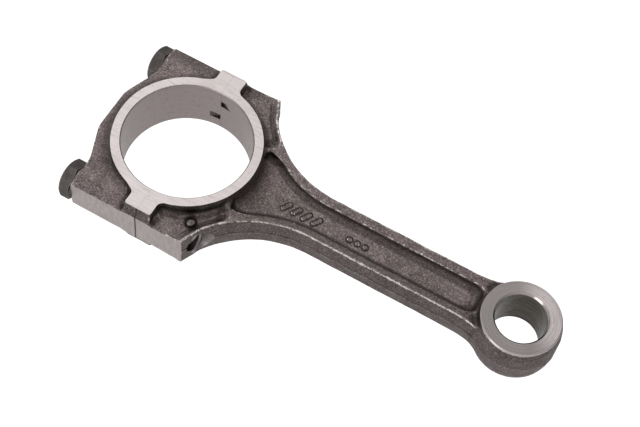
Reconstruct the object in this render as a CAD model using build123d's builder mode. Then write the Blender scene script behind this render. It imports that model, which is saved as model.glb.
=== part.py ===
from build123d import *
import math
import os

# Connecting rod of a small four-cylinder engine, lying flat: +Z is the axis of both bores,
# +X runs from the big end to the small end, and the origin is the centre of the big bore.
# Every dimension is in millimetres. The forging is symmetric about the planes Y = 0 and Z = 0,
# so its upper half is built once and mirrored, then machined and parted into rod and cap.

CENTRES = 129.75  # big bore to small bore
DRAFT = 7.0  # forging draft, degrees
SLOPE = math.tan(math.radians(DRAFT))
WALL_TOLERANCE = 0.12  # for finding edges and corners by where they lie

# Big end
BIG_BORE_R = 23.0
BIG_FACE_R = 26.5
BIG_HALF = 10.75
BIG_CHAMFER = 0.35
WEB_BLEND_R = 3.0  # blend of the big end's wall into the web
PAD_HALF_X = 5.0
PAD_END_Y = 32.2
PAD_BLEND_R = 0.9
SIDE_Y = 33.8  # ground side faces
SIDE_HALF_Z = 6.1
BOSS_HALF = 7.4  # forged top of the bolt bosses
BOSS_CORNER_R = 2.2
RIM_R = 0.8  # rounding of the forging's outer rim

# Cap
SEAT_X = -26.0  # machined seats of the bolt heads
SEAT_STOCK = 0.4
SEAT_INNER_Y = 21.4
NOSE = (-31.8, 8.6)
NOSE_HALF_Z = 6.3
NOSE_CORNER_R = 5.0
NOSE_RAMP_Y = (18.4, 22.6)  # where the nose rises to the height of the bolt bosses

# Beam
BEAM_HALF_Z = 6.3
BEAM_HALF_Y = 9.65
FLARE_R = 39.0  # concave sweep from the beam up to the bolt bosses
FLARE_X = 54.0
RAMP_X = (14.0, 42.0)  # where the flange comes down from the boss height to the beam height
WEB_HALF = 2.3
POCKET_DRAFT = 12.0
POCKET_HALF_Y = 5.95
POCKET_R = 40.8
POCKET_X = 54.0
POCKET_WIDE_Y = 14.2
POCKET_START_X = 20.0
POCKET_END_X = 114.6
POCKET_END_R = 4.6
POCKET_CORNER_R = 1.8
POCKET_FLOOR_R = 2.0

# Valley between the big end's wall and the rim of each shoulder
VALLEY_HALF = 5.9
VALLEY_RIM = 2.9
VALLEY_X = (17.5, 25.5)
VALLEY_INNER = ((20.5, 13.0), (9.0, 22.5), (11.5, 26.5))
VALLEY_DRAFT = 30.0
VALLEY_FLOOR_R = 1.0
VALLEY_BLEND_R = 0.8
VALLEY_FEET_X = (8.0, 23.5)

# Small end
SMALL_BORE_R = 9.0
SMALL_FACE_R = 13.7
SMALL_HALF = 8.95
SMALL_CHAMFER = 0.4
SMALL_RIM_R = 0.5
SMALL_BLEND_R = 1.2
NECK_R = 32.0
NECK_BITE = 0.8  # how far the neck's sweep runs into the small end's wall
NECK_TAIL = 3.0

STOCK_DEPTH = 10.0  # how far the tools that machine flat faces reach out

# Forged marks, standing on one side only
PIP_AT = (17.0, -25.4)
PIP_R = 1.6
PIP_TOP = 7.6
MARK_HEIGHT = 0.35
MARK_Y = -0.6
DASH_X = (40.5, 44.5, 48.5, 52.5)
DASH_LENGTH = 4.2
DASH_WIDTH = 1.3
DASH_TILT = 60.0
DOT_X = (65.5, 68.5, 71.5)
DOT_R = 0.9

# Bolts
BOLT_Y = 28.5
THREAD_R = 3.95  # plain cylinder at the thread's major radius
TAPPED_R = 4.0
CLEARANCE_R = 4.15
SPOTFACE_R = 7.8
BOLT_TIP_X = 17.0
TIP_CHAMFER = 0.8
HEAD_FLATS = 12.4
HEAD_X = -31.0
HEAD_TOP_R = 5.5
HEAD_CHAMFER_DEG = 30.0
COLLAR_R = 6.0
COLLAR_HEIGHT = 0.5

# Bearing tang notches in the bore wall, one in the rod and one in the cap
NOTCH_DEPTH = 1.2
NOTCH_WIDTH = 3.0
NOTCH_LENGTH = 4.2
NOTCH_Z = (4.1, -4.5)

flare_y = BEAM_HALF_Y + FLARE_R
boss_y = SIDE_Y + SIDE_HALF_Z * SLOPE


def sweep_point(radius, x):
    """Point at x on the circle concentric with the flare, on the side facing the beam."""
    return (x, flare_y - math.sqrt(radius**2 - (FLARE_X - x) ** 2))


def rim_edges(part, end_x):
    """Edges where the plate's drafted side walls meet its top, as far as end_x."""
    walls = part.faces().filter_by(lambda f: abs(f.normal_at().Z) < 0.5 and f.bounding_box().min.Z < 0.01)
    rim = {e for f in walls for e in f.edges() if e.center().Z > NOSE_HALF_Z - 0.1}
    return ShapeList(e for e in rim if e.center().X < end_x)


def wall_feet(part, centre_x, face_r, half, x_range, z_range):
    """Edges that lie on the drafted wall of the big or small end, with their middles in both ranges."""

    def on_wall(point):
        wall_r = face_r + (half - point.Z) * SLOPE
        return abs(math.hypot(point.X - centre_x, point.Y) - wall_r) < WALL_TOLERANCE

    return part.edges().filter_by(
        lambda e: x_range[0] < e.center().X < x_range[1]
        and z_range[0] < e.center().Z < z_range[1]
        and all(on_wall(e @ t) for t in (0, 0.5, 1))
    )


with BuildPart() as plate:
    # The beam, its sweeps, the bolt bosses and the cap's nose are one drafted outline.
    wide_r = SMALL_FACE_R + SMALL_HALF * SLOPE
    flare_end = (FLARE_X - math.sqrt(FLARE_R**2 - (flare_y - boss_y) ** 2), boss_y)
    neck_y = BEAM_HALF_Y + NECK_R
    neck_x = CENTRES - math.sqrt((NECK_R + wide_r - NECK_BITE) ** 2 - neck_y**2)
    span = NECK_R + wide_r - NECK_BITE
    cosine, sine = (CENTRES - neck_x) / span, neck_y / span
    neck_end = (CENTRES - (span - NECK_R) * cosine, (span - NECK_R) * sine)
    neck_tail = (neck_end[0] + NECK_TAIL * sine, neck_end[1] + NECK_TAIL * cosine)
    with BuildSketch():
        with BuildLine():
            Polyline(
                (NOSE[0], 0),
                NOSE,
                (SEAT_X - SEAT_STOCK, SEAT_INNER_Y),
                (SEAT_X - SEAT_STOCK, boss_y),
                flare_end,
            )
            RadiusArc(flare_end, (FLARE_X, BEAM_HALF_Y), -FLARE_R)
            Line((FLARE_X, BEAM_HALF_Y), (neck_x, BEAM_HALF_Y))
            RadiusArc((neck_x, BEAM_HALF_Y), neck_end, -NECK_R)
            Polyline(neck_end, neck_tail, (CENTRES, 0))
            mirror(about=Plane.XZ)
        make_face()
        for corner, radius in (
            (NOSE, NOSE_CORNER_R),
            ((SEAT_X - SEAT_STOCK, SEAT_INNER_Y), BOSS_CORNER_R),
            ((SEAT_X - SEAT_STOCK, boss_y), BOSS_CORNER_R),
            (flare_end, BOSS_CORNER_R),
        ):
            pair = vertices().filter_by(lambda v: math.dist((v.X, abs(v.Y)), corner) < WALL_TOLERANCE)
            fillet(pair, radius)
    extrude(amount=BOSS_HALF, taper=DRAFT)
    mirror(about=Plane.XY)
    split(bisect_by=Plane.XY, keep=Keep.TOP)

    # The flange comes down from the boss height to the beam height.
    with BuildSketch(Plane.XZ):
        with BuildLine():
            level = ((1, 0), (1, 0))
            Spline((RAMP_X[0], BOSS_HALF), (RAMP_X[1], BEAM_HALF_Z), tangents=level)
            Polyline(
                (RAMP_X[1], BEAM_HALF_Z),
                (CENTRES + 1, BEAM_HALF_Z),
                (CENTRES + 1, BOSS_HALF + 1),
                (RAMP_X[0], BOSS_HALF + 1),
                (RAMP_X[0], BOSS_HALF),
            )
        make_face()
    extrude(amount=SIDE_Y + 2, both=True, mode=Mode.SUBTRACT)
    # The cap's nose is as low as the beam.
    with BuildSketch(Plane.YZ.offset(NOSE[0] - 1)):
        with BuildLine():
            Spline((NOSE_RAMP_Y[0], NOSE_HALF_Z), (NOSE_RAMP_Y[1], BOSS_HALF), tangents=level)
            Line((0, NOSE_HALF_Z), (NOSE_RAMP_Y[0], NOSE_HALF_Z))
            Polyline((NOSE_RAMP_Y[1], BOSS_HALF), (NOSE_RAMP_Y[1], BOSS_HALF + 1), (0, BOSS_HALF + 1))
            mirror(about=Plane.YZ)
        make_face()
    extrude(amount=-NOSE[0], mode=Mode.SUBTRACT)
    fillet(rim_edges(plate, neck_end[0]), RIM_R)

with BuildPart() as pocket:
    # Tool for the recess between the flanges, with its rounded ends and floor.
    pocket_y = POCKET_HALF_Y + POCKET_R
    corner = (POCKET_X - math.sqrt(POCKET_R**2 - (pocket_y - POCKET_WIDE_Y) ** 2), POCKET_WIDE_Y)
    with BuildSketch(Plane.XY.offset(BOSS_HALF)):
        with BuildLine():
            Polyline((POCKET_START_X, 0), (POCKET_START_X, POCKET_WIDE_Y), corner)
            RadiusArc(corner, (POCKET_X, POCKET_HALF_Y), -POCKET_R)
            Polyline(
                (POCKET_X, POCKET_HALF_Y),
                (POCKET_END_X, POCKET_HALF_Y),
                (POCKET_END_X, 0),
            )
            mirror(about=Plane.XZ)
        make_face()
    extrude(amount=WEB_HALF - BOSS_HALF, taper=POCKET_DRAFT)
    uprights = pocket.edges().filter_by(lambda e: abs(e.tangent_at(0.5).Z) > 0.5)
    fillet(uprights.filter_by(lambda e: e.center().X > POCKET_END_X - 3), POCKET_END_R)
    uprights = pocket.edges().filter_by(lambda e: abs(e.tangent_at(0.5).Z) > 0.5)
    fillet(uprights.filter_by(lambda e: abs(e.center().Y) > POCKET_WIDE_Y - 2), POCKET_CORNER_R)
    fillet(pocket.edges().group_by(Axis.Z)[0], POCKET_FLOOR_R)

with BuildPart() as valley:
    # Tool for the shallow groove inside the rim of each shoulder.
    rim = [sweep_point(FLARE_R + VALLEY_RIM, x) for x in VALLEY_X]
    with BuildSketch(Plane.XY.offset(BOSS_HALF)):
        with BuildLine():
            RadiusArc(rim[0], rim[1], -FLARE_R - VALLEY_RIM)
            Polyline(rim[1], *VALLEY_INNER, rim[0])
        make_face()
        mirror(about=Plane.XZ)
    extrude(amount=VALLEY_HALF - BOSS_HALF, taper=VALLEY_DRAFT)
    fillet(valley.edges().group_by(Axis.Z)[0], VALLEY_FLOOR_R)

with BuildPart() as pads:
    # Stock for the machined pads over the bosses, bevelled down to the side faces.
    with BuildSketch():
        Rectangle(2 * (PAD_HALF_X + BIG_HALF * SLOPE), 4 * SIDE_Y)
    extrude(amount=BIG_HALF, taper=DRAFT)
    with BuildSketch(Plane.YZ):
        Polygon(
            (-boss_y, 0),
            (boss_y, 0),
            (SIDE_Y, SIDE_HALF_Z),
            (PAD_END_Y, BIG_HALF),
            (-PAD_END_Y, BIG_HALF),
            (-SIDE_Y, SIDE_HALF_Z),
            align=None,
        )
    extrude(amount=3 * PAD_HALF_X, both=True, mode=Mode.INTERSECT)

with BuildPart() as half:
    add(plate.part)
    add(pocket.part, mode=Mode.SUBTRACT)
    add(valley.part, mode=Mode.SUBTRACT)
    add(pads.part)
    # The big end's wall, blending into the web at its foot. Elsewhere the blend is inside the plate.
    with BuildSketch(Plane.XZ):
        with BuildLine():
            foot_r = BIG_FACE_R + (BIG_HALF - WEB_HALF - WEB_BLEND_R) * SLOPE
            outer_r = foot_r + WEB_BLEND_R
            blend_top = (foot_r, WEB_HALF + WEB_BLEND_R)
            Polyline((0, 0), (0, BIG_HALF), (BIG_FACE_R, BIG_HALF), blend_top)
            RadiusArc(blend_top, (outer_r, WEB_HALF), WEB_BLEND_R)
            Polyline((outer_r, WEB_HALF), (outer_r, 0), (0, 0))
        make_face()
    revolve(axis=Axis.Z)
    with BuildSketch():
        with Locations((CENTRES, 0)):
            Circle(wide_r)
    extrude(amount=SMALL_HALF, taper=DRAFT)
    # Blends at the feet of the pads and of both ends' walls.
    pad_feet = half.edges().filter_by(
        lambda e: PAD_HALF_X < abs(e.center().X) < PAD_HALF_X + 1
        and BIG_FACE_R - 1 < abs(e.center().Y) < PAD_END_Y
        and BOSS_HALF - 0.1 < e.center().Z < BIG_HALF - 1
    )
    fillet(pad_feet, PAD_BLEND_R)
    cap_range = ((NOSE[0], -PAD_HALF_X), (NOSE_HALF_Z - 0.1, BOSS_HALF + 0.1))
    fillet(wall_feet(half, 0, BIG_FACE_R, BIG_HALF, *cap_range), PAD_BLEND_R)
    rod_range = (VALLEY_FEET_X, (VALLEY_HALF - 0.1, BOSS_HALF + 0.1))
    fillet(wall_feet(half, 0, BIG_FACE_R, BIG_HALF, *rod_range), VALLEY_BLEND_R)
    small_range = ((FLARE_X, CENTRES - SMALL_BORE_R / 2), (0, SMALL_HALF - 1))
    fillet(wall_feet(half, CENTRES, SMALL_FACE_R, SMALL_HALF, *small_range), SMALL_BLEND_R)
    small_rim = half.edges().filter_by(lambda e: e.center().X > FLARE_X and e.center().Z > SMALL_HALF - 0.01)
    fillet(small_rim, SMALL_RIM_R)

with BuildPart() as machined:
    add(half.part)
    mirror(about=Plane.XY)
    # Marks forged on one side: a pip on the shoulder, dashes and dots on the web.
    with BuildSketch(Plane.XY.offset(VALLEY_HALF - 1)):
        with Locations(PIP_AT):
            Circle(PIP_R)
    extrude(amount=PIP_TOP - VALLEY_HALF + 1)
    with BuildSketch(Plane.XY.offset(WEB_HALF - 1)):
        with Locations(*((x, MARK_Y) for x in DASH_X)):
            SlotOverall(DASH_LENGTH, DASH_WIDTH, rotation=DASH_TILT)
        with Locations(*((x, MARK_Y) for x in DOT_X)):
            Circle(DOT_R)
    extrude(amount=1 + MARK_HEIGHT)

    # Ground side faces and spot-faced bolt seats.
    with BuildSketch():
        with Locations((0, SIDE_Y + STOCK_DEPTH / 2), (0, -SIDE_Y - STOCK_DEPTH / 2)):
            Rectangle(CENTRES, STOCK_DEPTH)
    extrude(amount=BIG_HALF, both=True, mode=Mode.SUBTRACT)
    with BuildSketch(Plane.YZ.offset(SEAT_X)):
        with Locations((BOLT_Y, 0), (-BOLT_Y, 0)):
            Circle(SPOTFACE_R)
    extrude(amount=-STOCK_DEPTH, mode=Mode.SUBTRACT)

    # Bores and their chamfers.
    Cylinder(BIG_BORE_R, 3 * BIG_HALF, mode=Mode.SUBTRACT)
    with Locations((CENTRES, 0, 0)):
        Cylinder(SMALL_BORE_R, 3 * SMALL_HALF, mode=Mode.SUBTRACT)
    mouths = machined.edges().filter_by(GeomType.CIRCLE)
    chamfer(mouths.filter_by(lambda e: abs(e.radius - BIG_BORE_R) < 0.01), BIG_CHAMFER)
    chamfer(mouths.filter_by(lambda e: abs(e.radius - SMALL_BORE_R) < 0.01), SMALL_CHAMFER)

    # Bolt holes: clearance through the cap, tapped through the rod's shoulders.
    with BuildSketch(Plane.YZ):
        with Locations((BOLT_Y, 0), (-BOLT_Y, 0)):
            Circle(TAPPED_R)
    extrude(amount=-SEAT_X, mode=Mode.SUBTRACT)
    with BuildSketch(Plane.YZ):
        with Locations((BOLT_Y, 0), (-BOLT_Y, 0)):
            Circle(CLEARANCE_R)
    extrude(amount=SEAT_X - 1, mode=Mode.SUBTRACT)

    # Tang notches, deepest at the joint plane and running out into the bore wall.
    for side, z in zip((1, -1), NOTCH_Z):
        with BuildSketch(Plane.XY.offset(z - NOTCH_WIDTH / 2)):
            Polygon(
                (0, BIG_BORE_R - NOTCH_WIDTH),
                (side * NOTCH_LENGTH, BIG_BORE_R - NOTCH_WIDTH),
                (side * NOTCH_LENGTH, math.sqrt(BIG_BORE_R**2 - NOTCH_LENGTH**2)),
                (0, BIG_BORE_R + NOTCH_DEPTH),
                align=None,
            )
        extrude(amount=NOTCH_WIDTH, mode=Mode.SUBTRACT)

with BuildPart() as rod_body:
    add(machined.part)
    split(bisect_by=Plane.YZ, keep=Keep.TOP)

with BuildPart() as bearing_cap:
    add(machined.part)
    split(bisect_by=Plane.YZ, keep=Keep.BOTTOM)

with BuildPart() as cap_bolt:
    # Hexagon head with two flats facing +-Y, chamfered round its top, and a round collar on the seat.
    with BuildSketch(Plane.YZ.offset(HEAD_X)):
        RegularPolygon(HEAD_FLATS / 2, 6, major_radius=False, rotation=30)
    extrude(amount=SEAT_X - COLLAR_HEIGHT - HEAD_X)
    with BuildSketch(Plane.XZ):
        corner_r = HEAD_FLATS / math.sqrt(3)
        chamfer_x = HEAD_X + (corner_r - HEAD_TOP_R) * math.tan(math.radians(HEAD_CHAMFER_DEG))
        Polygon(
            (HEAD_X, 0),
            (HEAD_X, HEAD_TOP_R),
            (chamfer_x, corner_r),
            (SEAT_X, corner_r),
            (SEAT_X, 0),
            align=None,
        )
    revolve(axis=Axis.X, mode=Mode.INTERSECT)
    with BuildSketch(Plane.YZ.offset(SEAT_X)):
        Circle(COLLAR_R)
    extrude(amount=-COLLAR_HEIGHT)
    with BuildSketch(Plane.YZ.offset(SEAT_X)):
        Circle(THREAD_R)
    extrude(amount=BOLT_TIP_X - SEAT_X)
    chamfer(cap_bolt.edges().group_by(Axis.X)[-1], TIP_CHAMFER)

pieces = {
    "rod_body": rod_body.part,
    "bearing_cap": bearing_cap.part,
    "cap_bolt_near": Pos(0, -BOLT_Y, 0) * cap_bolt.part,
    "cap_bolt_far": Pos(0, BOLT_Y, 0) * cap_bolt.part,
}
os.makedirs("parts", exist_ok=True)
for name, piece in pieces.items():
    piece.label = name
    export_step(piece, f"parts/{name}.step")
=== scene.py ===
"""A forged connecting rod with its bearing cap and two cap bolts, lying flat on its forging's parting plane.

The two forgings are built as one implicit surface, in millimetres, in the row frame: +Z along both bores, +X
from the big end to the small end. The machined faces, bores and holes are then cut, and the forging parted
into rod and cap.
"""

import math

import bmesh
import bpy
import numpy as np
import openvdb
from mathutils import Matrix, Vector


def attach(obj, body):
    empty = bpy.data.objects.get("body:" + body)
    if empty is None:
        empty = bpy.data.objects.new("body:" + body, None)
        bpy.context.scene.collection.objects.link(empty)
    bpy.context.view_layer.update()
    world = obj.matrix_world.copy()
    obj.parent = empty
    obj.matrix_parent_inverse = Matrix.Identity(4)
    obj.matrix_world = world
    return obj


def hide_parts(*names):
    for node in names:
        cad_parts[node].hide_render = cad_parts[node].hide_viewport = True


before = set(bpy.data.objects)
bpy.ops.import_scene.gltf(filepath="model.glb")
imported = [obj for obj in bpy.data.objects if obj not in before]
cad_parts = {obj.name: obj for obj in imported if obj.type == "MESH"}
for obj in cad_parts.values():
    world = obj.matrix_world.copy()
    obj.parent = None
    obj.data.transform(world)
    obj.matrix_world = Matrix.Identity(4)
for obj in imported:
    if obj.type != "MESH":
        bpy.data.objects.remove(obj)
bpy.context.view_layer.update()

MM = 0.001
CELL = 0.4  # spacing of the forging's surface grid

# Sizes are in millimetres and draft angles in degrees. The forging's parting plane is Z = 0.
CENTRES = 129.75  # big bore to small bore
DRAFT = 7
SLOPE = math.tan(math.radians(DRAFT))

# The bores, and the faces round them
BIG_BORE_R, BIG_FACE_R, BIG_HALF = 23.0, 26.5, 10.75
SMALL_BORE_R, SMALL_FACE_R, SMALL_HALF = 9.0, 13.7, 8.95
RIM_BEVEL, BORE_MOUTH, PIN_MOUTH = 0.28, 0.35, 0.6
TANG_Z = (4.1, -4.5)  # middle of the tang notch in the rod, and of the one in the cap

# Big end and cap
SIDE_Y, SIDE_HALF_Z, PAD_HALF_X = 33.8, 6.1, 5.0
PAD_BEVEL = (0.9457, 0.3254)  # direction that the bevelled end of each pad faces, in Y and Z
BOSS_HALF, BOSS_Y = 7.4, 34.9
NOSE, NOSE_BACK_X = (-31.8, 8.6), -26.4
NOSE_SLANT = (0.359, 0.9333)  # direction that the slanted side of the nose faces, in Y and -X
PIP_AT, PIP_Z = (17.0, -25.4), 6.3

# Beam and the sweeps at its ends, in outline at the parting plane
FLARE_X, FLARE_R, BEAM_Y = 54.0, 37.9, 9.65
NECK_X, NECK_R, NECK_END_X = 109.07, 32.0, 123.3
EYE_R = 14.5

# Pocket between the flanges, in outline at the height of the bosses, and the floors of pocket and valley
WEB_HALF, VALLEY_HALF = 2.3, 5.9
POCKET_R, POCKET_Y, POCKET_WIDE_Y = 40.8, 5.95, 13.5
POCKET_START_X, POCKET_END_X = 12, 117.4
POCKET_DRAFT, POCKET_END_DRAFT = 10, 35

# Raised marks on the web
MARK_TOP, MARK_Y = 2.65, -0.6
DASH_X, DOT_X = (40.5, 44.5, 48.5, 52.5), (65.5, 68.5, 71.5)

# Bolts and their holes
SEAT_X, BOLT_Y = -26.0, 28.5
TAPPED_R, CLEARANCE_R, SPOTFACE_R = 4.0, 4.15, 7.8
DRILL_R, SPOT_R, SPOT_X = 3.4, 5.6, 20.7
THREAD_R, THREAD_DEPTH, PITCH = 3.93, 0.58, 1.0
TIP_X, SHANK_X, HEAD_X, HEAD_FLATS = 17.0, -6.0, -31.0, 12.4
HEAD_TOP_R, COLLAR_R = 5.5, 6.0

REACH, DEEP = 60, 16  # how far the cutting tools reach across the forging, and along Z


# ---------------------------------------------------------------- implicit surface of the forging


def rounded_max(a, b, r):
    """Intersection of two solids, its edge rounded to radius r."""
    return np.minimum(np.maximum(a, b), -r) + np.hypot(np.maximum(a + r, 0), np.maximum(b + r, 0))


def rounded_min(a, b, r):
    """Union of two solids, its inside corner filled to radius r."""
    return -rounded_max(-a, -b, r)


def smooth_step(t):
    t = np.clip(t, 0, 1)
    return t * t * (3 - 2 * t)


def drafted(outline, depth, degrees):
    """Wall that leans inwards by so many degrees, from its outline at depth 0."""
    angle = math.radians(degrees)
    return (outline + depth * math.tan(angle)) * math.cos(angle)


def hash_noise(p, size, seed):
    """Smooth random field from -1 to 1 over points p, with features of the given size."""
    q = p / size
    cell = np.floor(q).astype(np.int64)
    f = smooth_step(q - cell)
    total = np.zeros(len(p))
    for corner in np.ndindex(2, 2, 2):
        at = cell + np.array(corner)
        # Large primes scatter the cell's coordinates.
        h = (at[:, 0] * 73856093) ^ (at[:, 1] * 19349663) ^ (at[:, 2] * 83492791) ^ (seed * 2654435761)
        h = (h ^ (h >> 13)) * 1274126177 & 0x7FFFFFFF
        weight = np.prod(np.where(corner, f, 1 - f), axis=1)
        total += weight * ((h % 65536) / 32767.5 - 1)
    return total


def swept_edge(x, y):
    """Distance outside the sweeps, beam and small end, at the parting plane. y is positive."""
    flare = FLARE_R - np.hypot(FLARE_X - x, BEAM_Y + FLARE_R - y)
    side = np.where(x < FLARE_X, flare, y - BEAM_Y)
    side = np.where(x > NECK_X, NECK_R - np.hypot(x - NECK_X, BEAM_Y + NECK_R - y), side)
    return np.where(x > NECK_END_X, np.hypot(x - CENTRES, y) - EYE_R, side)


def parting_fin(z):
    """Height of the trimmed flash that stands along the parting plane."""
    return 0.2 * np.exp(-((z / 0.4) ** 2)) - 0.2


def wall_depth(z):
    """Height above the parting plane, with the draft easing off towards it."""
    return np.sqrt(z * z + 1.7) - 1.304


def soft_step(t, r=1.5):
    """0 below t = 0 and t above it, with the corner rounded."""
    return 0.5 * (t + np.sqrt(t * t + r * r))


def plate(x, y, z):
    """Beam, sweeps, bolt bosses and the cap's nose, without their recesses. y and z are positive."""
    edge = swept_edge(x, y)
    side = rounded_max(edge, y - BOSS_Y, np.where(x < 0, 2.2, 0.5))
    slant = NOSE_SLANT[0] * (y - NOSE[1]) - NOSE_SLANT[1] * (x - NOSE[0])
    nose = rounded_max(NOSE[0] - x, slant, 1.2)
    left = -rounded_max(-nose, x - NOSE_BACK_X, 0.8)
    side = rounded_max(side, left, 1.6)
    ramp = 1.1 * smooth_step((x - 14) / 28)
    crown = 0.24 * np.clip(-edge - 0.5, 0, 3.4) * smooth_step((x - 26) / 12)
    boss = 0.25 * soft_step(y - 28.8) + 0.2 * soft_step(27.3 - y)
    boss = np.minimum(boss, 1.35) * (1 - smooth_step((x - 8) / 14))
    top = BOSS_HALF - ramp - crown - boss
    depth = wall_depth(z) * (1 - 0.75 * smooth_step((y - 26) / 4))
    return rounded_max(drafted(side, depth, DRAFT) - parting_fin(z), z - top, 0.6)


def pocket(x, y, z):
    """Recess between the flanges."""
    flare = POCKET_R - np.hypot(FLARE_X - x, POCKET_Y + POCKET_R - y)
    side = np.where(x < FLARE_X, flare, y - POCKET_Y)
    side = rounded_max(side, y - POCKET_WIDE_Y, 2)
    side = np.maximum(side, POCKET_START_X - x)
    end = drafted(x - POCKET_END_X, BOSS_HALF - z, POCKET_END_DRAFT)
    side = rounded_max(drafted(side, BOSS_HALF - z, POCKET_DRAFT), end, 4.2)
    floor = WEB_HALF + 0.45 * np.clip(y / 6, 0, 2.1) ** 2
    return rounded_max(side, floor - z, 2.0)


def valley(x, y, z):
    """Shallow groove between the big end's wall and the lip of each shoulder, down into the pocket."""
    lip = FLARE_R + 1.5 - np.hypot(FLARE_X - x, BEAM_Y + FLARE_R - y)
    ridge = 0.634 * (x - 27.8) - 0.7733 * (y - 16.2)
    floor = VALLEY_HALF - 0.2 + 1.8 * (1 - smooth_step((x - 5) / 14)) + 0.45 * smooth_step((27 - x) / 6)
    side = rounded_max(drafted(lip, BOSS_HALF - z, 42), drafted(ridge, BOSS_HALF - z, 60), 1.5)
    return rounded_max(side, floor - z, 1.0)


def marks(x, y, z):
    """Raised dashes and dots on the web."""
    found = np.full(np.broadcast(x, y, z).shape, 9.0)
    for at in DASH_X:
        along = (x - at) * 0.5 + (y - MARK_Y) * 0.866
        across = (x - at) * 0.866 - (y - MARK_Y) * 0.5
        found = np.minimum(found, np.hypot(np.maximum(np.abs(along) - 1.45, 0), across) - 0.65)
    for at in DOT_X:
        found = np.minimum(found, np.hypot(x - at, y - MARK_Y) - 0.9)
    return rounded_max(drafted(found, z - MARK_TOP, 25), z - MARK_TOP, 0.15)


def forging(x, y, z):
    """Signed distance, near its surface, to the whole forging with its machining stock."""
    up, y0 = z > 0, y
    y, z = np.abs(y), np.abs(z)
    body = plate(x, y, z)
    body = rounded_max(body, -pocket(x, y, z), 0.5)
    body = rounded_max(body, -valley(x, y, z), 0.5)
    height = z - BIG_HALF - 0.5
    pad = drafted(np.abs(x) - PAD_HALF_X, z - BIG_HALF, DRAFT)
    bevel = PAD_BEVEL[0] * (y - SIDE_Y) + PAD_BEVEL[1] * (z - SIDE_HALF_Z)
    pad = rounded_max(rounded_max(pad, bevel, 0.8), height, 0.1)
    body = rounded_min(body, pad, 0.9 + 0.8 * smooth_step((33.4 - y) / 3))
    wall = np.maximum(drafted(np.hypot(x, y) - BIG_FACE_R, z - BIG_HALF, DRAFT), height)
    spread = smooth_step((x - 19) / 6) * smooth_step((15 - y) / 4)
    spread = spread + 0.9 * smooth_step((-4 - x) / 4)
    body = rounded_min(body, wall, 1.9 + 2.4 * spread)
    eye = drafted(np.hypot(x - CENTRES, y) - SMALL_FACE_R, wall_depth(z) - SMALL_HALF, DRAFT)
    body = rounded_min(body, np.maximum(eye, z - SMALL_HALF - 0.5), 1.8)
    pip = np.sqrt((x - PIP_AT[0]) ** 2 + (y0 - PIP_AT[1]) ** 2 + ((z - PIP_Z) * 1.1) ** 2) - 1.8
    raised = rounded_min(rounded_min(body, pip, 0.2), marks(x, y0, z), 0.25)
    return np.where(up, raised, body)


def gradient(p, step=0.05):
    g = np.empty_like(p)
    for axis in range(3):
        shift = np.zeros(3)
        shift[axis] = step
        g[:, axis] = (forging(*(p + shift).T) - forging(*(p - shift).T)) / (2 * step)
    return g


def forged_mesh():
    """Vertices and quads of the forging, with its rough skin."""
    lo, hi = np.array((-33.0, -36.0, -12.4)), np.array((146.5, 36.0, 12.4))
    axes = [np.arange(a, b, CELL, dtype=np.float32) for a, b in zip(lo, hi)]
    x, y, z = np.meshgrid(*axes, indexing="ij", sparse=True)
    field = forging(x, y, z).astype(np.float32) / CELL
    grid = openvdb.FloatGrid(3.0)
    grid.copyFromArray(np.clip(field, -3, 3))
    points, _, quads = grid.convertToPolygons(0.0, 0.0)
    points = points.astype(float) * CELL + lo
    for _ in range(3):
        g = gradient(points)
        size = np.maximum((g * g).sum(1), 0.2)
        move = g * (forging(*points.T) / size)[:, None]
        points -= np.clip(move, -0.2, 0.2)
    normal = gradient(points)
    normal /= np.maximum(np.linalg.norm(normal, axis=1, keepdims=True), 1e-6)
    waves = 0.07 * hash_noise(points, 9, 1)
    rough = waves + 0.045 * hash_noise(points, 3.2, 2) + 0.03 * hash_noise(points, 1.3, 3)
    flash = np.exp(-((points[:, 2] / 0.7) ** 2)) * (np.abs(normal[:, 2]) < 0.6)
    rough += 0.1 * flash * hash_noise(points, 2.2, 4)
    points += normal * rough[:, None]
    points[:, 0] = np.clip(points[:, 0], NOSE[0] + 0.01, CENTRES + SMALL_FACE_R + SMALL_HALF * SLOPE - 0.01)
    return points, quads


def curvature(p, reach=0.55):
    """Positive on outside edges of the forging, negative in its corners."""
    total = -6 * forging(*p.T)
    for axis in range(3):
        for sign in (-reach, reach):
            shift = np.zeros(3)
            shift[axis] = sign
            total += forging(*(p + shift).T)
    return total / reach**2


def shelter(p, normal):
    """How closed in a point of the forging is, from 0 in the open to 1 in a deep corner."""
    total = np.zeros(len(p))
    for reach, weight in ((0.7, 0.1), (1.8, 0.4), (4.5, 0.5)):
        clear = forging(*(p + normal * reach).T) / reach
        total += weight * np.clip(1 - clear, 0, 1)
    return total


# ---------------------------------------------------------------- meshes


def new_object(name, points, faces):
    mesh = bpy.data.meshes.new(name)
    corners = [tuple(p) for p in np.asarray(points, float) * MM]
    mesh.from_pydata(corners, [], [tuple(map(int, f)) for f in faces])
    mesh.update()
    made = bpy.data.objects.new(name, mesh)
    bpy.context.scene.collection.objects.link(made)
    return made


# The two directions across each axis, then the axis itself.
AXES = {"X": ((0, 1, 0), (0, 0, 1), (1, 0, 0)), "Z": ((1, 0, 0), (0, 1, 0), (0, 0, 1))}


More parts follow.
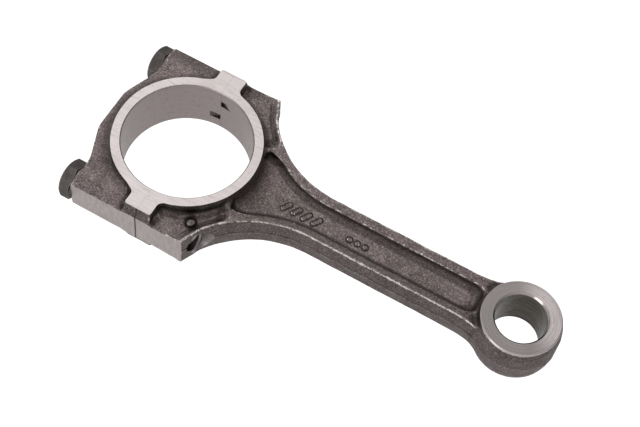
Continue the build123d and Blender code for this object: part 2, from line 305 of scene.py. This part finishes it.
def turned(name, profile, axis="Z", centre=(0, 0, 0), steps=192):
    """Closed solid of revolution. profile runs from the axis out and back to it, as (radius, height)."""
    u, v, w = (np.array(a, float) for a in AXES[axis])
    points, rings = [], []
    for radius, height in profile:
        count = steps if radius > 0 else 1
        rings.append(list(range(len(points), len(points) + count)))
        for i in range(count):
            a = 2 * math.pi * i / steps
            points.append(np.array(centre) + radius * (math.cos(a) * u + math.sin(a) * v) + height * w)
    faces = []
    for low, high in zip(rings, rings[1:]):
        for i in range(steps):
            j = (i + 1) % steps
            loop = [low[i % len(low)], low[j % len(low)], high[j % len(high)], high[i % len(high)]]
            faces.append(list(dict.fromkeys(loop)))
    return new_object(name, points, faces)


def prism(name, outline, axis, low, high):
    """Closed prism over an outline given in the plane across the axis."""
    u, v, w = (np.array(a, float) for a in AXES[axis])
    n = len(outline)
    points = [a * u + b * v + h * w for h in (low, high) for a, b in outline]
    faces = [list(range(n))[::-1], list(range(n, 2 * n))]
    faces += [[i, (i + 1) % n, (i + 1) % n + n, i + n] for i in range(n)]
    return new_object(name, points, faces)


def block(name, lo, hi):
    return prism(name, [(lo[0], lo[1]), (hi[0], lo[1]), (hi[0], hi[1]), (lo[0], hi[1])], "Z", lo[2], hi[2])


def facing_out(obj):
    """Turns every face of a closed mesh outwards."""
    bm = bmesh.new()
    bm.from_mesh(obj.data)
    bmesh.ops.recalc_face_normals(bm, faces=bm.faces)
    if bm.calc_volume(signed=True) < 0:
        bmesh.ops.reverse_faces(bm, faces=bm.faces)
    bm.to_mesh(obj.data)
    bm.free()
    return obj


def combined(obj, tools, operation="DIFFERENCE"):
    """New mesh of obj after each tool in turn; the tools are removed."""
    for tool in tools:
        facing_out(tool)
        cut = obj.modifiers.new(tool.name, "BOOLEAN")
        cut.operation, cut.solver, cut.object = operation, "MANIFOLD", tool
        tool.hide_render = True
    bpy.context.view_layer.update()
    done = bpy.data.meshes.new_from_object(obj.evaluated_get(bpy.context.evaluated_depsgraph_get()))
    obj.modifiers.clear()
    obj.data = done
    for tool in tools:
        bpy.data.objects.remove(tool)
    return obj


def copy_of(obj, name):
    made = bpy.data.objects.new(name, obj.data.copy())
    bpy.context.scene.collection.objects.link(made)
    return made


# ---------------------------------------------------------------- build

points, quads = forged_mesh()
stock = facing_out(new_object("forging", points, quads))

tools = []
for side in (1, -1):
    square = [(-REACH, -REACH), (REACH, -REACH), (REACH, REACH), (-REACH, REACH)]
    tools.append(prism(f"thrust{side}", square, "Z", side * BIG_HALF, side * DEEP))
    eye_face = [(0, 14), (17, 14), (17, SMALL_HALF - 0.7), (SMALL_FACE_R + 0.2, SMALL_HALF - RIM_BEVEL)]
    eye_face += [(SMALL_FACE_R - 0.15, SMALL_HALF), (0, SMALL_HALF)]
    tools.append(turned(f"eye{side}", [(r, side * h) for r, h in eye_face], centre=(CENTRES, 0, 0)))
    near, far = side * SIDE_Y, side * 50
    side_face = [(-REACH, near), (REACH, near), (REACH, far), (-REACH, far)]
    tools.append(prism(f"side{side}", side_face, "Z", -DEEP, DEEP))
    seat = [(0, -50), (SPOTFACE_R, -50), (SPOTFACE_R, SEAT_X), (0, SEAT_X)]
    tools.append(turned(f"seat{side}", seat, "X", (0, side * BOLT_Y, 0), 128))
bores = (("bore", BIG_BORE_R, BIG_HALF, BORE_MOUTH, 0), ("pin", SMALL_BORE_R, SMALL_HALF, PIN_MOUTH, CENTRES))
for name, r, half, mouth, at in bores:
    bore = [(0, -DEEP), (r + mouth + 2, -DEEP), (r + mouth + 2, -half - 2), (r, -half + mouth)]
    bore += [(a, -b) for a, b in reversed(bore)]
    tools.append(turned(name, bore, centre=(at, 0, 0), steps=256))
combined(stock, tools)

rod = copy_of(stock, "rod_forging")
cap = copy_of(stock, "cap_forging")
bpy.data.objects.remove(stock)
rod_tools = [block("cap_side", (-REACH, -REACH, -20), (0, REACH, 20))]
cap_tools = [block("rod_side", (0, -REACH, -20), (170, REACH, 20))]
for side in (1, -1):
    at = (0, side * BOLT_Y, 0)
    hole = [(0, -5), (TAPPED_R, -5), (TAPPED_R, 17.6), (DRILL_R, 18.2), (DRILL_R, SPOT_X - 0.5)]
    hole += [(DRILL_R + 0.5, SPOT_X), (SPOT_R, SPOT_X), (SPOT_R, 40), (0, 40)]
    rod_tools.append(turned(f"tapped{side}", hole, "X", at, 96))
    clearance = [(0, -50), (CLEARANCE_R, -50), (CLEARANCE_R, 5), (0, 5)]
    cap_tools.append(turned(f"clear{side}", clearance, "X", at, 96))
for tools in (rod_tools, cap_tools):
    for side in (1, -1):
        groove = [(a, side * b) for a, b in ((-1.2, SIDE_Y + 1), (0, SIDE_Y - 0.2), (1.2, SIDE_Y + 1))]
        tools.append(prism(f"side_seam{side}", groove, "Z", -9, 9))
for tools, side, z in ((rod_tools, 1, TANG_Z[0]), (cap_tools, -1, TANG_Z[1])):
    tang = [(-side * 0.5, 20), (side * 4.2, 20), (side * 4.2, 22.61), (0, 24.2), (-side * 0.5, 24.2)]
    tools.append(prism("tang", tang, "Z", z - 1.5, z + 1.5))
combined(rod, rod_tools)
combined(cap, cap_tools)


def threaded_shank(name, y):
    """Shank with its thread, from inside the head to the chamfered tip, as one closed grid."""
    rows, steps = [], 72
    heights = [HEAD_X + 2.5, SEAT_X, SHANK_X - 0.01] + list(np.arange(SHANK_X, TIP_X, PITCH / 8)) + [TIP_X]
    points = [(heights[0], y, 0.0)]
    for height in heights:
        ring = []
        for i in range(steps):
            a = 2 * math.pi * i / steps
            turns = (height - SHANK_X) / PITCH - i / steps
            wave = 1 - abs(2 * (turns - math.floor(turns)) - 1)
            cut = min(max((wave - 0.12) / 0.76, 0), 1) * smooth_step((height - SHANK_X) / (2 * PITCH))
            radius = min(THREAD_R - THREAD_DEPTH * cut, THREAD_R - 0.8 + (TIP_X - height))
            ring.append(len(points))
            points.append((height, y + radius * math.cos(a), radius * math.sin(a)))
        rows.append(ring)
    points.append((TIP_X, y, 0.0))
    faces = [[0, rows[0][(i + 1) % steps], rows[0][i]] for i in range(steps)]
    faces += [[len(points) - 1, rows[-1][i], rows[-1][(i + 1) % steps]] for i in range(steps)]
    for low, high in zip(rows, rows[1:]):
        faces += [[low[i], low[(i + 1) % steps], high[(i + 1) % steps], high[i]] for i in range(steps)]
    return new_object(name, points, faces)


def bolt(name, y):
    """Hexagon-head cap bolt: chamfered head, washer collar and threaded shank."""
    corner = HEAD_FLATS / 2 / math.cos(math.radians(30))
    angles = [math.radians(60 * i) for i in range(6)]
    across = [(y + corner * math.sin(a), corner * math.cos(a)) for a in angles]
    head = prism(name, across, "X", HEAD_X, SEAT_X - 0.5)
    cone = [(0, HEAD_X), (HEAD_TOP_R, HEAD_X), (7.6, HEAD_X + 2.1 * math.tan(math.radians(30)))]
    cone += [(7.6, SEAT_X - 0.9), (6.4, SEAT_X - 0.5), (0, SEAT_X - 0.5)]
    combined(head, [turned("cone", cone, "X", (0, y, 0), 96)], "INTERSECT")
    collar = [(0, SEAT_X - 1), (5.7, SEAT_X - 1), (5.7, SEAT_X - 0.52)]
    collar += [(COLLAR_R, SEAT_X - 0.4), (COLLAR_R, SEAT_X), (0, SEAT_X)]
    combined(head, [turned("collar", collar, "X", (0, y, 0), 96), threaded_shank("shank", y)], "UNION")
    return facing_out(head)


bolts = {"near": bolt("hex_bolt_near", -BOLT_Y), "far": bolt("hex_bolt_far", BOLT_Y)}


def zones(mesh):
    """Material slot of each face, from where it lies and which way it faces."""
    count = len(mesh.polygons)
    centre, normal = np.empty(count * 3), np.empty(count * 3)
    mesh.polygons.foreach_get("center", centre)
    mesh.polygons.foreach_get("normal", normal)
    x, y, z = centre.reshape(-1, 3).T / MM
    nx, ny, nz = np.abs(normal.reshape(-1, 3).T)
    big_r, small_r, bolt_r = np.hypot(x, y), np.hypot(x - CENTRES, y), np.hypot(np.abs(y) - BOLT_Y, z)
    notch = (big_r > BIG_BORE_R + 0.02) & (big_r < BIG_BORE_R + 1.3) & (np.abs(x) < 4.3) & (y > 0)
    notch &= np.abs(np.abs(z) - 4.3) < 1.8
    eye_face = (np.abs(z) > SMALL_HALF - 0.93) & (small_r < 14.4)
    spot = (x > SPOT_X - 0.51) & (x < SPOT_X + 0.01) & (nx > 0.5) & (bolt_r < SPOT_R + 0.05)
    spot_wall = (x > SPOT_X) & (x < 30) & (nx < 0.01) & (np.abs(bolt_r - SPOT_R) < 0.05)
    found = (
        ("drilled_and_shade", (bolt_r < CLEARANCE_R + 0.05) & (nx < 0.2) & (x < 30)),
        ("milled", (np.abs(x - SEAT_X) < 0.01) & (nx > 0.99)),
        ("milled", (np.abs(x) < 0.01) & (nx > 0.99)),
        ("milled", spot | spot_wall),
        ("ground_side", (np.abs(np.abs(y) - SIDE_Y) < 0.01) & (ny > 0.99)),
        ("ground_face", (np.abs(np.abs(z) - BIG_HALF) < 0.01) & (nz > 0.99)),
        ("honed", (big_r < BIG_BORE_R + 0.4) & (np.abs(z) < BIG_HALF - 0.01)),
        ("honed", notch),
        # Painted shade: the tang notch's end walls and the cap notch's floor take the dark drilled finish to
        # stand for the shade in the notch.
        ("drilled_and_shade", notch & ((x < 0) | (nz > 0.9))),
        ("turned", eye_face),
        ("chamfered", eye_face & (nz < 0.97)),
        ("reamed", (small_r < SMALL_BORE_R + 0.1) & (nz < 0.1)),
    )
    zone = np.zeros(count, np.int32)
    for slot, where in found:
        zone[where] = SLOTS.index(slot)
    return zone


def finish_faces(obj, materials):
    """Materials and shading of a machined forging, and the attributes that its skin's material reads."""
    mesh = obj.data
    mesh.materials.clear()
    for slot in SLOTS:
        mesh.materials.append(materials[slot])
    zone = zones(mesh)
    mesh.polygons.foreach_set("material_index", zone)
    mesh.polygons.foreach_set("use_smooth", np.ones(len(zone), bool))
    mesh.set_sharp_from_angle(angle=math.radians(48))

    bm = bmesh.new()
    bm.from_mesh(mesh)
    for edge in bm.edges:
        faces = edge.link_faces
        if len(faces) == 2:
            a, b = faces[0].material_index, faces[1].material_index
            if a != b or (a > 0 and edge.calc_face_angle(0.0) > 0.2):
                edge.smooth = False
    bm.to_mesh(mesh)
    bm.free()
    co = np.empty(len(mesh.vertices) * 3)
    mesh.vertices.foreach_get("co", co)
    at = co.reshape(-1, 3) / MM
    slope = gradient(at)
    slope /= np.maximum(np.linalg.norm(slope, axis=1, keepdims=True), 1e-6)
    # Bright band on the skin next to the ground sides, counted with the outside edges: partly edge wear,
    # partly a painted highlight.
    border = smooth_step((np.abs(at[:, 1]) - SIDE_Y + 0.8) / 0.8) * (np.abs(at[:, 0]) < 30)
    bend = curvature(at) + 0.9 * border
    flash = np.exp(-((at[:, 2] / 0.45) ** 2)) * (np.abs(slope[:, 2]) < 0.6)
    # The skin's material reads these fields for its bright edges (part wear, part painted highlight) and for
    # painted shade in corners and recesses.
    fields = {"wear_and_highlight": bend / 2, "crease_shade": -bend / 2, "shelter": shelter(at, slope), "flash": flash}
    for name, values in fields.items():
        layer = mesh.attributes.new(name, "FLOAT", "POINT")
        layer.data.foreach_set("value", np.clip(values, 0, 1).astype(np.float32))


# ---------------------------------------------------------------- materials


class Shader:
    """A node material, built up from its Principled BSDF."""

    def __init__(self, name):
        self.material = bpy.data.materials.new(name)
        self.material.use_nodes = True
        self.tree = self.material.node_tree
        self.tree.nodes.clear()
        self.bsdf = self.node("ShaderNodeBsdfPrincipled")
        out = self.node("ShaderNodeOutputMaterial")
        self.tree.links.new(self.bsdf.outputs[0], out.inputs[0])
        self.place = self.node("ShaderNodeTexCoord").outputs["Object"]

    def node(self, kind, inputs=(), **settings):
        made = self.tree.nodes.new(kind)
        for key, value in settings.items():
            setattr(made, key, value)
        for key, value in dict(inputs).items():
            self.put(made.inputs[key], value)
        return made

    def put(self, socket, value):
        if isinstance(value, bpy.types.NodeSocket):
            self.tree.links.new(value, socket)
        else:
            socket.default_value = value

    def sum(self, operation, a, b=0.0, c=0.0):
        return self.node("ShaderNodeMath", {0: a, 1: b, 2: c}, operation=operation).outputs[0]

    def scaled(self, scale, turn=(0, 0, 0), at=(0, 0, 0)):
        inputs = {"Vector": self.place, "Scale": scale, "Rotation": turn, "Location": at}
        return self.node("ShaderNodeMapping", inputs).outputs[0]

    def noise(self, scale, detail=2.0, roughness=0.5, vector=None):
        inputs = {"Vector": vector or self.place, "Scale": scale, "Detail": detail, "Roughness": roughness}
        return self.node("ShaderNodeTexNoise", inputs).outputs[0]

    def remap(self, value, low, high, to_low=0.0, to_high=1.0):
        inputs = {0: value, 1: low, 2: high, 3: to_low, 4: to_high}
        return self.node("ShaderNodeMapRange", inputs, interpolation_type="SMOOTHSTEP").outputs[0]

    def blend(self, amount, a, b):
        made = self.node("ShaderNodeMix", data_type="RGBA")
        for socket, value in ((made.inputs[0], amount), (made.inputs[6], a), (made.inputs[7], b)):
            self.put(socket, value if isinstance(value, (float, bpy.types.NodeSocket)) else (*value, 1))
        return made.outputs[2]

    def attribute(self, name):
        return self.node("ShaderNodeAttribute", attribute_name=name).outputs["Fac"]

    def finish(self, colour, roughness, metallic, bumps=(), **extra):
        """bumps are (height socket, depth in metres)."""
        normal = None
        for height, depth in bumps:
            inputs = {"Height": height, "Distance": depth, "Strength": 1.0}
            if normal:
                inputs["Normal"] = normal
            normal = self.node("ShaderNodeBump", inputs).outputs[0]
        inputs = {"Base Color": colour, "Roughness": roughness, "Metallic": metallic, **extra}
        if normal:
            inputs["Normal"] = normal
        for key, value in inputs.items():
            self.put(self.bsdf.inputs[key], value)
        return self.material


def joint_line(s, colour, strength):
    """Dark line of oil and dirt where the cap meets the rod."""
    part = s.node("ShaderNodeSeparateXYZ", {0: s.place})
    away = s.sum("ABSOLUTE", part.outputs[0])
    ragged = s.sum("MULTIPLY_ADD", s.noise(300, 3, 0.6), 0.0004, -0.0002)
    line = s.remap(s.sum("ADD", away, ragged), 0.0001, 0.0004, strength, 0.0)
    return s.blend(line, colour, (0.05, 0.036, 0.03))


def forged_steel(name):
    """Shot-blasted forging: grainy brown-grey scale with painted glints, rubbed bright along its outside
    edges (partly wear, partly a painted highlight), with painted shade in its corners and recesses.
    """
    s = Shader(name)
    grain, fine = s.noise(1500, 3, 0.65), s.noise(3600, 2, 0.6)
    patch, cloud = s.noise(170, 3, 0.6), s.noise(38, 3, 0.55)
    smear = s.noise(1, 3, 0.6, s.scaled((90, 420, 900)))
    colour = s.blend(s.remap(cloud, 0.35, 0.65), (0.155, 0.119, 0.119), (0.134, 0.109, 0.104))
    colour = s.blend(s.remap(patch, 0.38, 0.72, 0.0, 0.5), colour, (0.195, 0.155, 0.153))
    colour = s.blend(s.remap(smear, 0.5, 0.72, 0.0, 0.45), colour, (0.085, 0.064, 0.061))
    colour = s.blend(s.remap(grain, 0.53, 0.7, 0.0, 0.65), colour, (0.42, 0.365, 0.355))
    colour = s.blend(s.remap(grain, 0.48, 0.34, 0.0, 0.65), colour, (0.042, 0.031, 0.03))
    # Bright specks in the grain, partly painted glints, fewer where the forging is closed in as painted
    # shade.
    grit_glints = s.sum("MULTIPLY", s.remap(fine, 0.56, 0.7), s.remap(s.attribute("shelter"), 0.3, 0.1, 0.15, 0.75))
    colour = s.blend(grit_glints, colour, (0.46, 0.405, 0.395))
    colour = s.blend(s.remap(fine, 0.43, 0.32, 0.0, 0.5), colour, (0.04, 0.03, 0.029))
    rub = s.sum("MULTIPLY_ADD", s.sum("SUBTRACT", s.noise(760, 4, 0.85), 0.5), 3.0, s.attribute("wear_and_highlight"))
    rub = s.remap(rub, 0.55, 1.1, 0.0, 0.95)
    trimmed = s.sum("MULTIPLY", s.attribute("flash"), s.remap(s.noise(260, 3, 0.7), 0.42, 0.62))
    colour = s.blend(s.sum("MULTIPLY", trimmed, 0.6), colour, (0.36, 0.31, 0.305))
    # Outside edges painted bright: partly real edge wear, partly a painted highlight.
    colour = s.blend(rub, colour, (0.72, 0.655, 0.64))
    # Painted shade: darker in the forging's inside corners and creases, read from its curvature.
    colour = s.blend(s.remap(s.attribute("crease_shade"), 0.04, 0.34, 0.0, 0.75), colour, (0.03, 0.024, 0.022))
    # Painted shade: the skin turns near-black where the forging is closed in (its shelter), spread a little
    # by random patches.
    recess_shade = s.sum("MULTIPLY_ADD", s.sum("SUBTRACT", patch, 0.5), 0.25, s.attribute("shelter"))
    colour = s.blend(s.remap(recess_shade, 0.06, 0.42, 0.0, 0.94), colour, (0.014, 0.011, 0.01))
    colour = joint_line(s, colour, 0.7)
    roughness = s.sum("MULTIPLY_ADD", rub, -0.14, s.remap(patch, 0.3, 0.7, 0.56, 0.42))
    return s.finish(colour, roughness, 0.9, ((patch, 0.0002), (grain, 0.00012), (fine, 0.00004)))


def machined(name, tone, roughness, lines, depth, cross=None, seam=0.15, contrast=0.2, **extra):
    """Bare machined steel. lines and cross are the vectors that tool marks are drawn from."""
    s = Shader(name)
    marks = s.noise(1, 3, 0.65, lines(s))
    other = s.noise(1, 2, 0.6, cross(s)) if cross else s.noise(700, 2, 0.6)
    stain, pits = s.noise(75, 4, 0.6), s.noise(900, 3, 0.7)
    dark = tuple(c * (1 - contrast) for c in tone)
    light = tuple(min(c * (1 + 0.7 * contrast), 1) for c in tone)
    colour = s.blend(s.remap(marks, 0.3, 0.7), dark, light)
    colour = s.blend(s.remap(other, 0.6, 0.75, 0.0, 0.35), colour, tuple(c * 0.55 for c in tone))
    oily = (tone[0] * 0.72, tone[1] * 0.66, tone[2] * 0.6)
    colour = s.blend(s.remap(stain, 0.56, 0.75, 0.0, 0.25), colour, oily)
    colour = s.blend(s.remap(pits, 0.61, 0.71, 0.0, 0.5), colour, tuple(c * 0.3 for c in tone))
    colour = joint_line(s, colour, seam)
    rough = s.remap(s.sum("MULTIPLY_ADD", other, 0.4, marks), 0.4, 0.95, roughness - 0.07, roughness + 0.09)
    if "ring" in extra:
        extra["Tangent"], painted_sheen = ring_tangent(s, extra.pop("ring"))
        # Painted sheen and shade: the turned face is lighter towards one side of its centre and darker away
        # from it.
        colour = s.blend(s.remap(painted_sheen, 0.0, 0.95, 0.8, 0.0), colour, tuple(c * 0.35 for c in tone))
    return s.finish(colour, rough, 1.0, ((marks, depth), (other, depth)), **extra)


def ring_tangent(s, centre):
    """Direction round the Z axis at centre, and how near that place is to the side of the turned rings that
    is painted light, as a painted sheen.
    """
    part = s.node("ShaderNodeSeparateXYZ", {0: s.place})
    inputs = {0: s.sum("MULTIPLY", part.outputs[1], -1.0), 1: s.sum("SUBTRACT", part.outputs[0], centre * MM)}
    made = s.node("ShaderNodeCombineXYZ", inputs)
    unit = s.node("ShaderNodeVectorMath", {0: made.outputs[0]}, operation="NORMALIZE").outputs[0]
    # Painted sheen: the rings count as lit from the side towards (-0.6, 0.8).
    near = s.node("ShaderNodeVectorMath", {0: unit, 1: (-0.6, 0.8, 0.0)}, operation="DOT_PRODUCT")
    return unit, near.outputs["Value"]


def black_oxide(name):
    """Oiled black oxide over forged bolt steel, worn grey on the corners of the head."""
    s = Shader(name)
    grain, patch = s.noise(1300, 3, 0.6), s.noise(220, 3, 0.6)
    turned_marks = s.noise(1, 2, 0.6, s.scaled((2200, 120, 120)))
    colour = s.blend(s.remap(patch, 0.35, 0.68), (0.085, 0.072, 0.068), (0.13, 0.112, 0.106))
    colour = s.blend(s.remap(turned_marks, 0.52, 0.75, 0.0, 0.3), colour, (0.15, 0.132, 0.125))
    colour = s.blend(s.remap(grain, 0.57, 0.72, 0.0, 0.5), colour, (0.16, 0.145, 0.14))
    bevel = s.node("ShaderNodeBevel", {"Radius": 0.0005}, samples=6)
    geometry = s.node("ShaderNodeNewGeometry")
    both = {0: bevel.outputs[0], 1: geometry.outputs["Normal"]}
    flat = s.node("ShaderNodeVectorMath", both, operation="DOT_PRODUCT").outputs["Value"]
    rub = s.remap(flat, 0.995, 0.9, 0.0, 0.8)
    colour = s.blend(s.sum("MULTIPLY", rub, s.remap(patch, 0.3, 0.6)), colour, (0.3, 0.27, 0.265))
    return s.finish(colour, s.remap(patch, 0.3, 0.7, 0.5, 0.36), 0.8, ((patch, 0.00008), (grain, 0.00005)))


def circular(centre, along, around):
    """Vector whose noise runs in rings round the Z axis at centre: fine across, long around."""

    def vector(s):
        shift = {0: s.place, 1: (centre * MM, 0, 0)}
        moved = s.node("ShaderNodeVectorMath", shift, operation="SUBTRACT").outputs[0]
        x, y, z = s.node("ShaderNodeSeparateXYZ", {0: moved}).outputs
        radius = s.sum("SQRT", s.sum("MULTIPLY_ADD", x, x, s.sum("MULTIPLY", y, y)))
        swing = s.sum("SINE", s.sum("ARCTAN2", y, x))
        parts = (s.sum("MULTIPLY", a, b) for a, b in ((radius, along), (z, along), (swing, around)))
        return s.node("ShaderNodeCombineXYZ", dict(enumerate(parts))).outputs[0]

    return vector


def lay(scale, turn=(0, 0, 0)):
    """Vector whose noise runs in straight lines, finest along the axis with the largest scale."""
    return lambda s: s.scaled(scale, turn)


# The material in each slot of a machined forging, in the order of the slots.
MATERIAL_NAMES = {
    "forged": "forged_steel",
    "ground_face": "ground_face",
    "ground_side": "ground_side",
    "honed": "honed_bore",
    "turned": "turned_face",
    "chamfered": "chamfered_edge",
    "reamed": "reamed_bore",
    "milled": "milled_face",
    "drilled_and_shade": "drilled_hole_and_shade",
}
SLOTS = list(MATERIAL_NAMES)


def make_materials():
    """Materials by slot. Each bare steel has its tone, roughness, tool marks and their depth in microns."""
    grind = math.radians(-27)
    long_cut, cross_cut = lay((70, 1500, 70), (0, 0, grind)), lay((110, 900, 90), (0, 0, grind + 0.45))
    side_cut, side_cross = lay((1100, 260, 190), (0, 0.1, 0)), lay((500, 120, 210), (0, 0.5, 0))
    side_look = dict(cross=side_cross, seam=0.85, contrast=0.14)
    hone, ream = circular(0, 1900, 1.5), circular(CENTRES, 1000, 3.0)
    facing, mouth = circular(CENTRES, 2400, 1.2), circular(CENTRES, 1800, 1.5)
    bare = (
        ("ground_face", (0.44, 0.4, 0.398), 0.38, long_cut, 8, dict(cross=cross_cut, seam=0.08)),
        ("ground_side", (0.56, 0.502, 0.496), 0.42, side_cut, 8, side_look),
        ("honed", (0.395, 0.338, 0.334), 0.33, hone, 4, dict(seam=0.12, contrast=0.1)),
        ("turned", (0.54, 0.485, 0.482), 0.3, facing, 8, dict(Anisotropic=0.3, ring=CENTRES)),
        ("chamfered", (0.62, 0.56, 0.55), 0.16, mouth, 10, {}),
        # The reamed bore's near-black tone and strong ring stripes are its reaming marks, with painted shade
        # and painted reflection streaks.
        ("reamed", (0.08, 0.068, 0.056), 0.24, ream, 60, dict(contrast=0.75)),
        ("milled", (0.36, 0.325, 0.325), 0.42, lay((60, 2000, 60)), 10, {}),
        ("drilled_and_shade", (0.13, 0.112, 0.11), 0.45, lay((1800, 60, 60)), 20, {}),
    )
    made = {"forged": forged_steel(MATERIAL_NAMES["forged"])}
    for slot, tone, roughness, lines, microns, settings in bare:
        depth = microns / 1e6
        made[slot] = machined(MATERIAL_NAMES[slot], tone, roughness, lines, depth, **settings)
    return made


materials = make_materials()
for forging_part in (rod, cap):
    finish_faces(forging_part, materials)

oxide = black_oxide("black_oxide")
for side, made in bolts.items():
    made.data.materials.clear()
    made.data.materials.append(oxide)
    made.data.polygons.foreach_set("use_smooth", np.ones(len(made.data.polygons), bool))
    made.data.set_sharp_from_angle(angle=math.radians(28))
    for edge in made.data.edges:
        if min(made.data.vertices[v].co.x for v in edge.vertices) > SHANK_X * MM:
            edge.use_edge_sharp = False
    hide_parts(f"cap_bolt_{side}")
    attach(made, f"bolt_{side}")

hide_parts("rod_body")
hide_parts("bearing_cap")
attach(rod, "rod")
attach(cap, "cap")

# ---------------------------------------------------------------- camera, light, stage

camera = bpy.data.objects.new("camera", bpy.data.cameras.new("camera"))
bpy.context.scene.collection.objects.link(camera)
bpy.context.scene.camera = camera
camera.data.sensor_width = 36
camera.data.lens = 86.0
right, down = Vector((0.8713, 0.4842, 0.0801)).normalized(), Vector((0.4559, -0.7382, -0.4973))
forward = right.cross(down).normalized()
down = forward.cross(right)
turn = Matrix((right, -down, -forward)).transposed().to_4x4()
camera.matrix_world = Matrix.Translation(Vector((147.8, -245.2, 459.1)) * MM) @ turn
camera.data.clip_start, camera.data.clip_end = 0.01, 20

# The sky is dim at the horizon and below, and pale overhead.
world = bpy.data.worlds.new("studio")
bpy.context.scene.world = world
world.use_nodes = True
tree = world.node_tree
where, tilt, ramp = (tree.nodes.new(f"ShaderNode{kind}") for kind in ("TexCoord", "VectorMath", "ValToRGB"))
tilt.operation = "DOT_PRODUCT"
tilt.inputs[1].default_value = (-0.1, 0.0, 0.9)
low, high = ramp.color_ramp.elements
low.position, low.color = 0.0, (0.2, 0.2, 0.2, 1)
high.position, high.color = 0.65, (1, 1, 1, 1)
sky = tree.nodes["Background"]
sky.inputs[1].default_value = 0.78
tree.links.new(where.outputs["Generated"], tilt.inputs[0])
tree.links.new(tilt.outputs["Value"], ramp.inputs[0])
tree.links.new(ramp.outputs[0], sky.inputs[0])

far, depth = 3000, -160
corners = [(-far, -far, depth), (far, -far, depth), (far, far, depth), (-far, far, depth)]
floor = new_object("floor", corners, [(0, 1, 2, 3)])
white = Shader("white_floor")
white.finish((0.55, 0.55, 0.55, 1), 0.9, 0.0)
white.put(white.bsdf.inputs["Emission Color"], (1, 0.995, 0.99, 1))
seen = white.node("ShaderNodeLightPath").outputs["Is Camera Ray"]
white.put(white.bsdf.inputs["Emission Strength"], white.remap(seen, 0, 1, 0.2, 0.72))
floor.data.materials.append(white.material)


def soft_light(name, direction, distance, size, power):
    """Square lamp that faces the middle of the rod."""
    lamp = bpy.data.lights.new(name, "AREA")
    lamp.shape, lamp.size, lamp.energy = "SQUARE", size, power
    made = bpy.data.objects.new(name, lamp)
    bpy.context.scene.collection.objects.link(made)
    towards = Vector(direction).normalized()
    made.location = Vector((0.055, 0, 0)) + towards * distance
    made.rotation_mode = "QUATERNION"
    made.rotation_quaternion = towards.to_track_quat("Z", "Y")
    return made


soft_light("overhead", (-0.4, 0.36, 0.87), 1.0, 0.6, 1.85)
soft_light("front", (-0.3, -0.85, 0.42), 0.9, 0.45, 1.0)
bpy.context.scene.view_settings.view_transform = "Standard"
